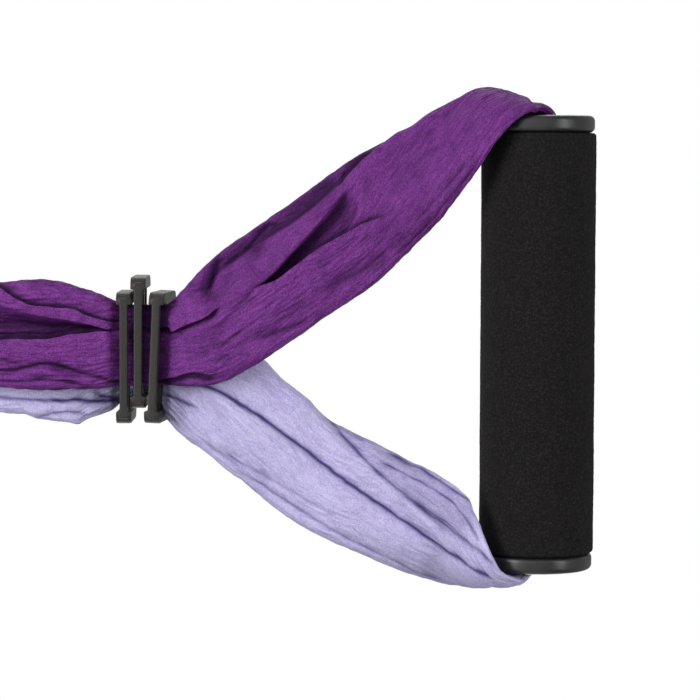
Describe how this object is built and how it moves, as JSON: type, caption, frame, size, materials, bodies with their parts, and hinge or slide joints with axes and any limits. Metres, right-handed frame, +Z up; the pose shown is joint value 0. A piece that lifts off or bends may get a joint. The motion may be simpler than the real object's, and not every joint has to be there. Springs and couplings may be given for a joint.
{
  "type": "aerial yoga hammock hand grip loop",
  "caption": "Hand-grip loop of an aerial yoga hammock: foam-covered tube with flanged ends, hung on crossed strips of gathered nylon that webbing slides cinch below a sewn hanging eye.",
  "frame": {"origin": "on the axis of the sewn hanging eye at the top of the strips, straight above the middle of the grip", "axes": "+Z up, from the grip to the hanging eye; +X along the grip and along the eye's hole, towards the purple strip's end; -Y towards the front, which the picture shows"},
  "size_m": [0.1571, 0.0394, 0.2544],
  "materials": {
    "purple_nylon": "satin",
    "lilac_nylon": "satin",
    "slide_plastic": "satin",
    "tube_plastic": "satin",
    "black_foam": "matte",
    "flange_plastic": "gloss"
  },
  "bodies": {
    "strips": {"purple_strip": "purple_nylon", "lilac_strip": "lilac_nylon"},
    "grip": {"grip_tube": "tube_plastic", "foam_sleeve": "black_foam", "end_flange_upper": "flange_plastic", "end_flange_lower": "flange_plastic"},
    "inner_slide": {"slide_inner": "slide_plastic"},
    "middle_slide": {"slide_middle": "slide_plastic"},
    "outer_slide": {"slide_outer": "slide_plastic"}
  },
  "joints": [
    {"name": "grip_spin", "type": "hinge", "parent": "strips", "child": "grip", "pos_m": [0, 0, -0.221], "axis": [1, 0, 0], "continuous": true},
    {"name": "inner_slide_travel", "type": "slide", "parent": "strips", "child": "inner_slide", "axis": [0, 0, 1], "range_m": [-0.015, 0.035], "deforming": ["purple_strip", "lilac_strip"]},
    {"name": "middle_slide_travel", "type": "slide", "parent": "inner_slide", "child": "middle_slide", "axis": [0, 0, 1], "range_m": [0, 0.006]},
    {"name": "outer_slide_travel", "type": "slide", "parent": "middle_slide", "child": "outer_slide", "axis": [0, 0, 1], "range_m": [0, 0.006]}
  ]
}
